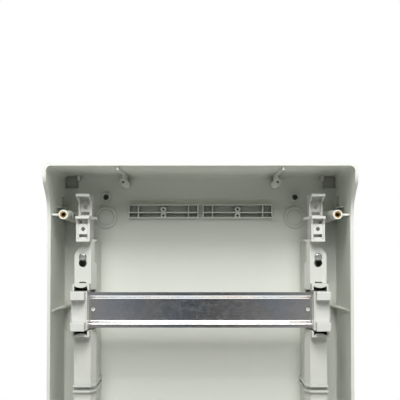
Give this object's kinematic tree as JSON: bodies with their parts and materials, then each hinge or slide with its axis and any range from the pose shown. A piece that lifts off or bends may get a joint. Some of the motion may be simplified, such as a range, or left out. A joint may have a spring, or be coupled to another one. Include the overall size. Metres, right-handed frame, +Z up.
{
  "type": "surface fuse box",
  "caption": "Open-fronted surface fuse box with a lift-off rail chassis, depth-adjustable mounting rails and stepped terminal brackets.",
  "frame": {"origin": "middle of the four wall-fixing holes, on the plane of the building wall", "axes": "+X to the right seen from the front, +Z up, the open front faces -Y"},
  "size_m": [0.2958, 0.1275, 0.4378],
  "materials": {
    "box_moulding": "fine satin, light grey",
    "chassis_moulding": "fine satin, light grey",
    "bracket_moulding": "fine satin, pale grey",
    "holder_moulding": "fine satin, pale grey",
    "rail_steel": "bright zinc",
    "screw_steel": "bright zinc",
    "insert_brass": "turned"
  },
  "bodies": {
    "enclosure": {"back_box": "box_moulding", "cover_screw_inserts": "insert_brass", "chassis_screws": "screw_steel"},
    "chassis": {"upright_left": "chassis_moulding", "upright_right": "chassis_moulding", "terminal_bracket_upper_left": "bracket_moulding", "terminal_bracket_upper_right": "bracket_moulding", "terminal_bracket_lower_left": "bracket_moulding", "terminal_bracket_lower_right": "bracket_moulding"},
    "upper_row": {"mounting_rail_upper": "rail_steel", "rail_holder_upper_left": "holder_moulding", "rail_holder_upper_right": "holder_moulding"},
    "lower_row": {"mounting_rail_lower": "rail_steel", "rail_holder_lower_left": "holder_moulding", "rail_holder_lower_right": "holder_moulding"}
  },
  "joints": [
    {"name": "chassis_lift", "type": "slide", "parent": "enclosure", "child": "chassis", "axis": [0, 0, 1], "range_m": [0, 0.0063]},
    {"name": "upper_rail_depth", "type": "slide", "parent": "chassis", "child": "upper_row", "axis": [0, -1, 0], "range_m": [0, 0.012]},
    {"name": "lower_rail_depth", "type": "slide", "parent": "chassis", "child": "lower_row", "axis": [0, -1, 0], "range_m": [0, 0.012]}
  ]
}
